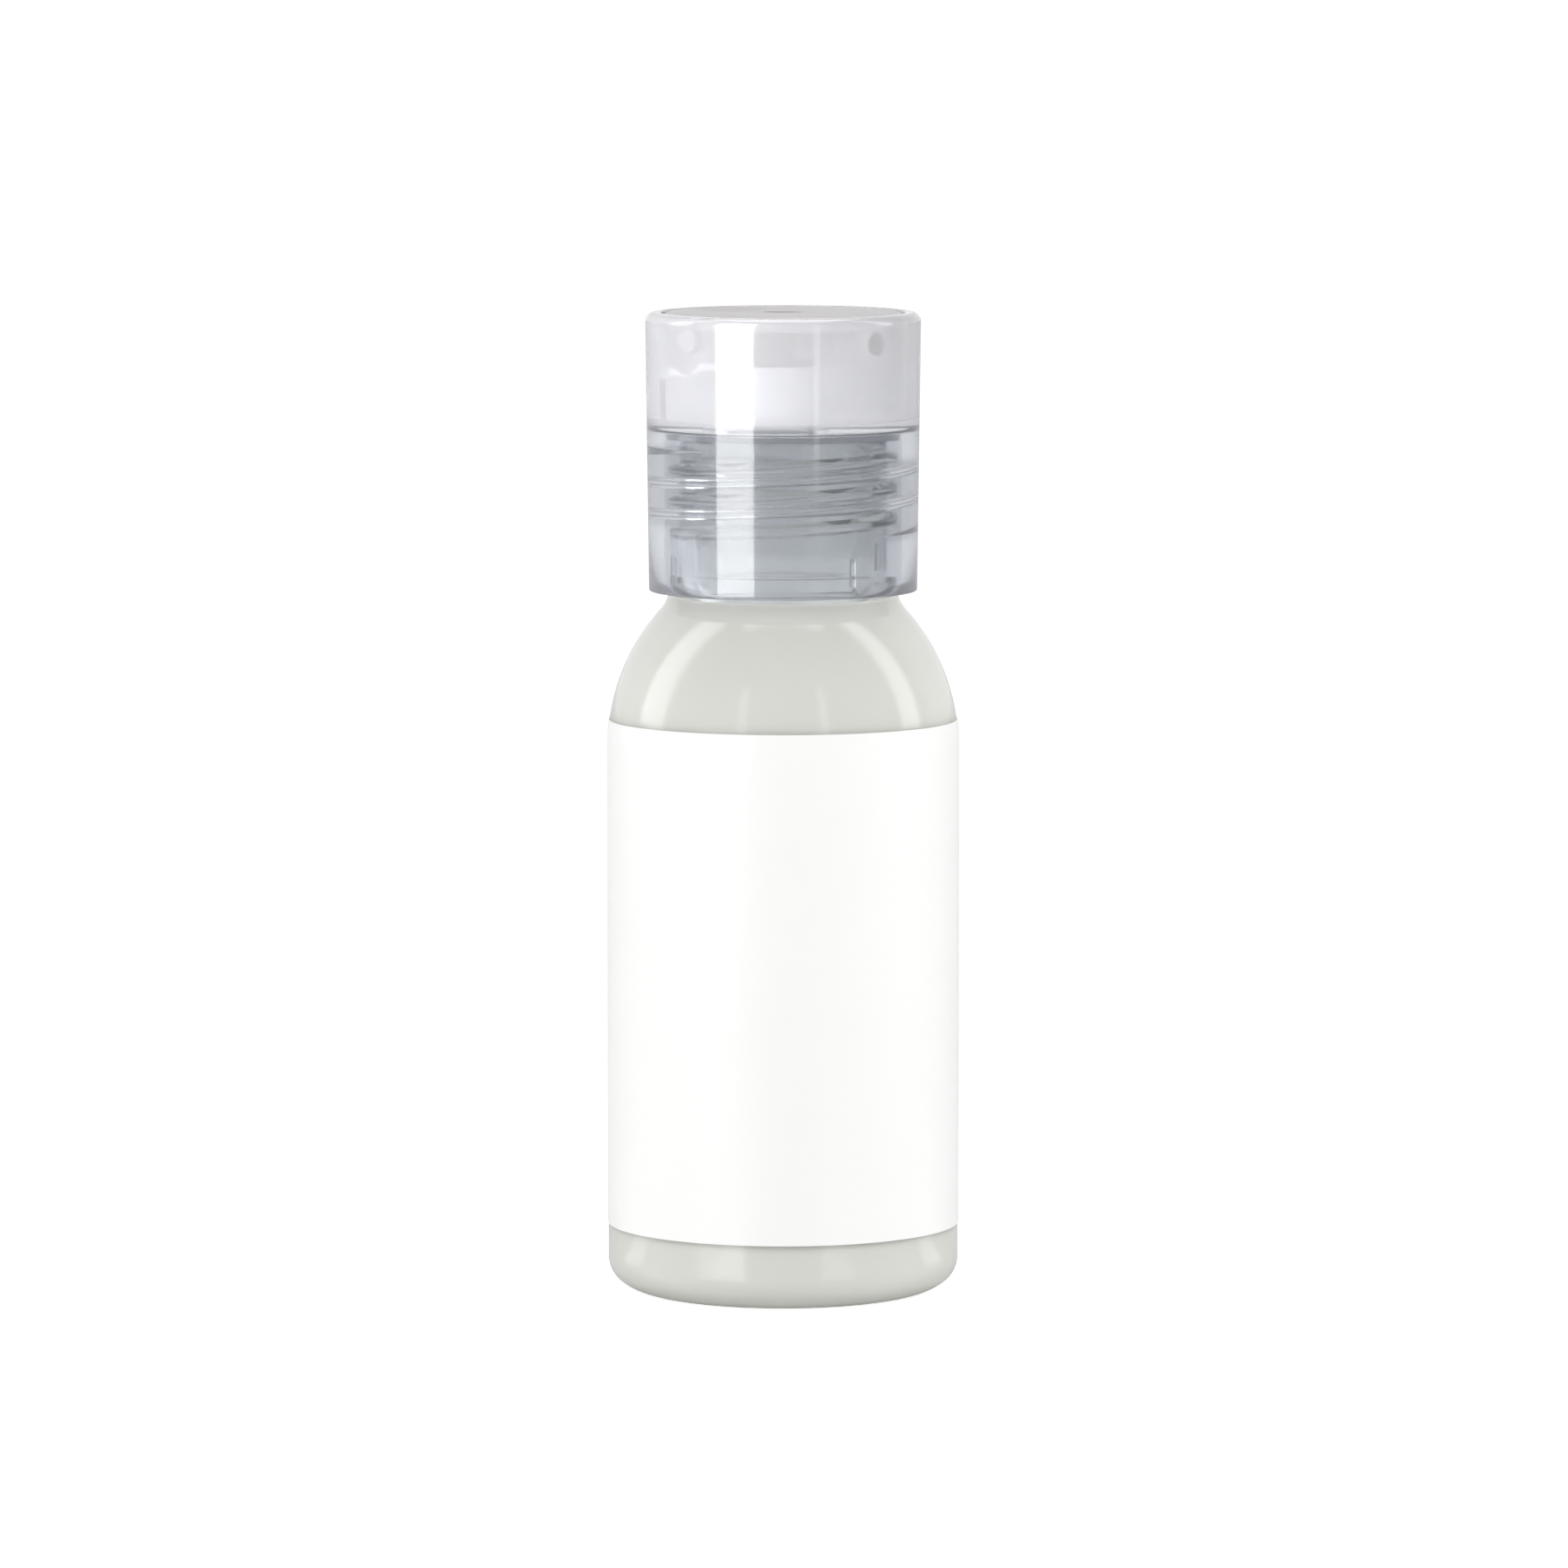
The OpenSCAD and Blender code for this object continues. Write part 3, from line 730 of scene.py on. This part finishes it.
    def camera(self, scene):
        """A long lens from 0.98 m away, looking 5.9 degrees down."""
        data = bpy.data.cameras.new("camera")
        data.lens, data.sensor_width = 220.1, 36   # mm
        data.clip_start, data.clip_end = 0.05, 50
        camera = bpy.data.objects.new("camera", data)
        aim, reach, down = Vector((0.00009, 0, 0.05223)), 0.9844, math.radians(5.898)
        camera.location = aim + Vector((0, -reach * math.cos(down), reach * math.sin(down)))
        camera.rotation_euler = (aim - camera.location).to_track_quat("-Z", "Y").to_euler()
        scene.collection.objects.link(camera)
        scene.camera = camera


# The pieces


THREAD_ROOT = 0.3 * MM    # how deep the threads root in their walls
THREAD_TURNS = 2.75
NECK_THREAD_END = 50      # degrees round from +X. The cap's thread ends half a turn further on


class BOTTLE_OT_bottle(bpy.types.Operator):
    """Builds the clear blown bottle with its moulded neck thread"""

    bl_idname = "bottle.bottle"
    bl_label = "Bottle"

    def execute(self, context):
        s, finish = context.scene.bottle_sizes, context.scene.bottle_finishes
        wall, neck_top = mm(s.wall), mm(s.neck_top)
        outside = bottle_outline(s, 0, mm(s.collar_r), mm(s.neck_fillet), mm(s.collar_z) + 1.5)
        inside = bottle_outline(s, wall, mm(s.bore_r), 5, neck_top)
        root = (mm(s.neck_r), mm(s.collar_z) + 1.5)
        neck = [outside[-1], root, (mm(s.neck_r), neck_top), inside[-1], inside[-2]]
        under = dome(s, 0, 12.77) + [outside[0]]
        within = list(reversed(dome(s, wall, 12.4)))
        outline = under + outside[1:-1] + eased(neck, 0.3)[:-1] + list(reversed(inside[:-1])) + within
        piece = lathe("bottle_shell", outline, s.steps)
        grow(piece, thread_tree(), {
            "Wall radius": s.neck_r, "Height": s.thread_r - s.neck_r, "Root": THREAD_ROOT,
            "Foot width": 1.6 * MM, "Crest width": 0.7 * MM, "Pitch": s.pitch, "Turns": THREAD_TURNS,
            "Top": s.neck_top - 1.3 * MM, "End angle": math.radians(NECK_THREAD_END), "Side": 1,
            "Ease": 0.15 * MM,
        }, blown_pet(finish.clear))
        dress(shade(piece), "bottle", "clear_bottle", "bottle")
        return {"FINISHED"}


class BOTTLE_OT_lotion(bpy.types.Operator):
    """Builds the lotion, which wets the wall and creeps up it at the top"""

    bl_idname = "bottle.lotion"
    bl_label = "Lotion"

    def execute(self, context):
        s, finish = context.scene.bottle_sizes, context.scene.bottle_finishes
        # It reaches a hair into the wall, so no air shows between them
        inset, fill = mm(s.wall) - 0.06, mm(s.fill_z)
        inside = bottle_outline(s, inset, mm(s.bore_r) + 0.06, 4.94, mm(s.neck_top))
        side = [point for point in inside if point[1] < fill]
        edge = side[-1][0]
        surface = [(edge - 0.05, fill), (edge - 0.4, fill - 0.28), (edge - 1.1, fill - 0.45)]
        surface += [(edge - 2.4, fill - 0.5)]
        outline = dome(s, inset, 12.4) + side + surface + [(4, fill - 0.5), (0, fill - 0.5)]
        piece = lathe("lotion_fill", outline, s.steps, lotion_cream(finish.lotion))
        dress(shade(piece), "bottle", "lotion", "lotion")
        return {"FINISHED"}


class BOTTLE_OT_label(bpy.types.Operator):
    """Builds the bare label film, wrapped round the body with its seam at the back"""

    bl_idname = "bottle.label"
    bl_label = "Label"

    def execute(self, context):
        s, finish = context.scene.bottle_sizes, context.scene.bottle_finishes
        inner, seat, film = mm(s.body_r) + 0.02, 0.02, 0.085
        foot, high, corner = mm(s.label_z), mm(s.label_h), mm(s.label_corner)
        shoulder, arc_r = mm(s.shoulder_z), mm(s.shoulder_r)

        def wall(z):
            """The bottle's outer radius, which the film follows where the shoulder starts."""
            return mm(s.body_r) - arc_r + math.sqrt(arc_r ** 2 - max(0, z - shoulder) ** 2)

        span = 2 * math.pi * inner - mm(s.label_seam)
        # Close steps round the corners at both ends, then even steps round the body
        ends = [corner * (1 - math.cos(math.radians(a))) for a in range(0, 90, 6)]
        count = 360
        middle = [corner + (span - 2 * corner) * i / count for i in range(count + 1)]
        along = ends + middle + [span - x for x in reversed(ends)]
        shares = (0.3, 0.6, 0.9, 0.946, 0.96, 0.974, 0.987)
        work = bmesh.new()
        columns = []
        for x in along:
            near = min(x, span - x)
            cut = corner - math.sqrt(max(0, corner ** 2 - (corner - near) ** 2)) if near < corner else 0
            angle = math.pi / 2 + (mm(s.label_seam) / 2 + x) / inner
            way = Vector((math.cos(angle), math.sin(angle), 0))
            low, top = foot + cut, foot + high - cut
            rows = [low + (top - low) * t for t in shares]
            face = [low + 0.03, *rows, top - 0.03]
            loop = [(seat, low), (seat + film - 0.02, low)] + [(seat + film, z) for z in face]
            loop += [(seat + film - 0.02, top), (seat, top)] + [(seat, z) for z in reversed(rows)]
            points = [(way * (wall(z) + r) + Vector((0, 0, z))) * MM for r, z in loop]
            columns.append([work.verts.new(point) for point in points])
        for a, b in zip(columns, columns[1:]):
            for i in range(len(a)):
                j = (i + 1) % len(a)
                work.faces.new((a[i], b[i], b[j], a[j]))
        work.faces.new(columns[0])
        work.faces.new(reversed(columns[-1]))
        bmesh.ops.recalc_face_normals(work, faces=work.faces)
        mesh = bpy.data.meshes.new("label_wrap")
        work.to_mesh(mesh)
        work.free()
        piece = new_piece("label_wrap", mesh, label_film(finish.label))
        dress(shade(piece, 25), "bottle", "label_film", "label")
        return {"FINISHED"}


class BOTTLE_OT_gasket(bpy.types.Operator):
    """Builds the foam gasket that seals the neck's rim"""

    bl_idname = "bottle.gasket"
    bl_label = "Gasket"

    def execute(self, context):
        s, finish = context.scene.bottle_sizes, context.scene.bottle_finishes
        low, high = mm(s.neck_top), mm(context.scene.cap_sizes.deck_z)
        inner, outer, ease = 8.5, 11.9, 0.1
        ring = [(inner, low + ease), (inner + ease, low), (outer - ease, low), (outer, low + ease)]
        ring += [(outer, high - ease), (outer - ease, high), (inner + ease, high), (inner, high - ease)]
        piece = lathe("gasket_ring", ring, s.steps, gasket_foam(finish.foam), closed=True)
        dress(shade(piece), "gasket", "gasket", "gasket")
        return {"FINISHED"}


def at_pivot(c):
    """The disc's frame: +X to the spout, the pivot axis along Y, origin on the pivot."""
    return Matrix.Rotation(c.spout_turn, 4, "Z") @ Matrix.Translation((-c.pivot_back, 0, c.pivot_z))


class BOTTLE_OT_cap(bpy.types.Operator):
    """Builds the screw cap with its well, seat, disc stop, thread and short ribs"""

    bl_idname = "bottle.cap"
    bl_label = "Cap"

    def execute(self, context):
        s, c, finish = context.scene.bottle_sizes, context.scene.cap_sizes, context.scene.bottle_finishes
        piece = combine(self.shell(s, c), self.inner_works(s, c), "UNION")
        combine(piece, self.cuts(c), "DIFFERENCE")
        # The last colour is the skirt's darker tint, painted shade for what shows dimly through the clear
        # skirt.
        plastic = moulded_pp(
            "natural polypropylene, polished", finish.cap, 0.06, (0.10, 0.30, 0.95), finish.skirt
        )
        grow(piece, thread_tree(), {
            "Wall radius": c.skirt_r, "Height": c.skirt_r - c.thread_r, "Root": THREAD_ROOT,
            "Foot width": 1.3 * MM, "Crest width": 0.5 * MM, "Pitch": s.pitch, "Turns": THREAD_TURNS,
            "Top": 87.045 * MM, "End angle": math.radians(NECK_THREAD_END + 180), "Side": -1,
            "Ease": 0.12 * MM,
        }, plastic)
        ribs = rib_tree()
        for angle, foot in ((210, 0), (304, 0), (319, 1.5)):
            grow(piece, ribs, {
                "Radius": c.skirt_r + 0.025 * MM, "Depth": 0.55 * MM, "Width": 0.5 * MM,
                "Height": 2.8 * MM, "Foot": c.foot_z + (1.2 + foot) * MM, "Angle": math.radians(angle),
                "Step": 0, "Count": 1,
            }, plastic)
        bpy.data.collections[ON_CAP].objects.link(piece)
        apart = bpy.data.collections[NOT_ON_CAP]
        apart.objects.link(piece)
        apart.collection_objects[0].light_linking.link_state = "EXCLUDE"
        dress(shade(piece), "cap", "cap_plastic", "cap_body")
        return {"FINISHED"}

    def shell(self, s, c):
        foot, top, edge = mm(c.foot_z), mm(c.top_z), mm(c.edge_r)
        skirt, well, deck, deck_top = mm(c.skirt_r), mm(c.well_r), mm(c.deck_z), mm(c.deck_top)
        rim = arc((mm(c.top_r) - edge, top - edge), edge, 0, 90, 10)
        # The wall has close rings beside its corners, so that its shading stays flat up to them
        draft, wall = mm(c.top_r) - mm(c.foot_r), top - edge - foot
        shares = [0, 0.45 / wall] + [i / 8 for i in range(1, 8)] + [1 - 0.1 / wall]
        outside = [(mm(c.foot_r) + draft * t, foot + wall * t) for t in shares]
        lower = [(0, deck), (skirt, deck), (skirt, foot + 1.2), (skirt + 0.5, foot)] + outside[:2]
        upper = [rim[-1], (well, top), (well, deck_top), (0, deck_top)]
        outline = eased(lower, 0.15)[:-1] + outside[1:] + rim[:-1] + eased(upper, 0.2)
        return lathe("cap_shell", outline, s.steps)

    def inner_works(self, s, c):
        """The seat's post, and the wall and ribs that stop the disc, rooted in the well's wall."""
        deck, well, stop = mm(c.deck_top) - 0.4, mm(c.well_r) + 0.3, mm(c.pivot_z) - 4
        post_top = mm(c.pivot_z) - 3.3
        turn = Matrix.Rotation(c.spout_turn, 4, "Z")
        post = lathe("post", [(0, deck), (5.4, deck), (5.4, post_top), (0, post_top)], s.steps)
        turned(post, Matrix.Translation((-c.pivot_back, 0, 0)), turn)
        walls = [block("stop_wall", (-6, -14, deck), (-5, 14, stop))]
        walls += [block("stop_rib", (-14, y - 0.5, deck), (-5.5, y + 0.5, stop)) for y in (-6, 0, 6)]
        stops = combine(walls[0], walls[1:], "UNION")
        turned(stops, turn)
        ring = [(0, deck - 1), (well, deck - 1), (well, stop + 1), (0, stop + 1)]
        bound = lathe("bound", ring, s.steps)
        return [combine(stops, [bound], "INTERSECT"), post]

    def cuts(self, c):
        """The seat, the outlet, the core below the seat and the two blind sockets."""
        place = at_pivot(c)
        seat, low = mm(c.seat_r), mm(c.deck_z) - mm(c.pivot_z)
        ball = lathe("seat", arc((0, 0), seat, -90, 90, 48), 128)
        outlet = lathe("outlet", [(0, low - 1), (1, low - 1), (1, -4), (0, -4)], 48)
        roof = -seat - 1.2
        core = lathe("core", [(0, low - 0.5), (4.2, low - 0.5), (4.2, roof), (0, roof)], 96)
        pin = lathe("socket", [(0, -13.16), (1.21, -13.16), (1.21, 13.16), (0, 13.16)], 48)
        turned(pin, Matrix.Rotation(math.radians(90), 4, "X"))
        return [turned(piece, place) for piece in (ball, core, outlet, pin)]


class BOTTLE_OT_disc(bpy.types.Operator):
    """Builds the press-top disc with its ball, spout, ears and pins"""

    bl_idname = "bottle.disc"
    bl_label = "Press-top disc"

    def execute(self, context):
        s, c, finish = context.scene.bottle_sizes, context.scene.cap_sizes, context.scene.bottle_finishes
        piece = combine(self.plate(s, c), self.underside(s, c), "UNION")
        combine(piece, self.cuts(c), "DIFFERENCE")
        piece.data.materials.clear()
        piece.data.materials.append(moulded_pp("natural polypropylene, matt", finish.disc, 0.35, 0.85))
        dress(shade(piece), "disc", "disc_plastic", "cap_disc")
        return {"FINISHED"}

    def plate(self, s, c):
        top, low, r = mm(c.top_z), mm(c.plate_z), mm(c.disc_r)
        rim = arc((r - 0.5, top - 0.5), 0.5, 0, 90, 8)
        mark = [rim[-1], (2.1, top), (2.1, top - 0.25), (0, top - 0.25)]
        outline = eased([(0, low), (r, low), rim[0]], 0.15)[:-1] + rim[:-1] + eased(mark, 0.08)
        return lathe("disc_plate", outline, s.steps)

    def underside(self, s, c):
        """The ball, the bar that holds the spout, and the ears with their pins."""
        place, up = at_pivot(c), mm(c.plate_z) - mm(c.pivot_z) + 0.3
        under = mm(c.disc_r) - 0.3
        bar = block("spout_bar", (0, -2.4, -2.4), (16, 2.4, up))
        ears = [block("ear", (-1.8, min(y, y + w), -1.8), (1.8, max(y, y + w), up)) for y, w in
                ((under - 1.6, 3), (-under + 1.6, -3))]
        arms = turned(combine(bar, ears, "UNION"), place)
        low = mm(c.pivot_z) - 6.6
        bound = lathe("bound", [(0, low), (under, low), (under, low + 9), (0, low + 9)], s.steps)
        arms = combine(arms, [bound], "INTERSECT")
        r = mm(c.ball_r)
        ball = turned(lathe("ball", arc((0, 0), r, -90, 0, 32) + [(r, up), (0, up)], 128), place)
        pins = []
        for side in (-1, 1):
            outline = [(0, under - 0.8), (1.15, under - 0.8), (1.15, 13.04), (0, 13.04)]
            pin = lathe("pin", eased(outline, 0.2), 48)
            pins.append(turned(pin, Matrix.Rotation(math.radians(90 * side), 4, "X"), place))
        return [ball, arms] + pins

    def cuts(self, c):
        """The way in through the back of the ball, the spout's channel and the thumb hollow."""
        place = at_pivot(c)
        way_in = lathe("way_in", [(0, -6.6), (1.1, -6.6), (1.1, 0), (0, 0)], 48)
        turned(way_in, Matrix.Rotation(math.radians(25), 4, "Y"), place)
        spout = lathe("spout", [(0, 0), (1.2, 0), (1.2, 25), (0, 25)], 48)
        lower = Matrix.Translation((0, 0, -0.4 * MM))
        turned(spout, Matrix.Rotation(math.radians(90), 4, "Y"), lower, place)
        thumb = lathe("thumb", arc((0, 0), 20, -90, 90, 160), 256)
        high = c.top_z + (20 - 0.45) * MM
        turned(thumb, Matrix.Translation((-6.8 * MM, 0, high)), Matrix.Rotation(c.spout_turn, 4, "Z"))
        return [way_in, spout, thumb]


class BOTTLE_PT_pieces(bpy.types.Panel):
    bl_idname = "BOTTLE_PT_pieces"
    bl_label = "Lotion bottle"
    bl_space_type = "VIEW_3D"
    bl_region_type = "UI"
    bl_category = "Bottle"

    def draw(self, context):
        scene = context.scene
        for operator in PIECES:
            self.layout.operator(operator.bl_idname)
        for sizes in (scene.bottle_sizes, scene.cap_sizes, scene.bottle_finishes):
            box = self.layout.box()
            for name in sizes.__annotations__:
                box.prop(sizes, name)


PIECES = (
    BOTTLE_OT_stage, BOTTLE_OT_bottle, BOTTLE_OT_lotion, BOTTLE_OT_label, BOTTLE_OT_gasket,
    BOTTLE_OT_cap, BOTTLE_OT_disc,
)
CLASSES = (BottleSizes, CapSizes, Finishes, *PIECES, BOTTLE_PT_pieces)


def register():
    for item in CLASSES:
        bpy.utils.register_class(item)
    bpy.types.Scene.bottle_sizes = PointerProperty(type=BottleSizes)
    bpy.types.Scene.cap_sizes = PointerProperty(type=CapSizes)
    bpy.types.Scene.bottle_finishes = PointerProperty(type=Finishes)


def unregister():
    del bpy.types.Scene.bottle_finishes
    del bpy.types.Scene.cap_sizes
    del bpy.types.Scene.bottle_sizes
    for item in reversed(CLASSES):
        bpy.utils.unregister_class(item)


def main():
    register()
    bpy.ops.bottle.stage()
    bpy.ops.bottle.bottle()
    bpy.ops.bottle.lotion()
    bpy.ops.bottle.label()
    bpy.ops.bottle.gasket()
    bpy.ops.bottle.cap()
    bpy.ops.bottle.disc()


if __name__ == "__main__":
    main()
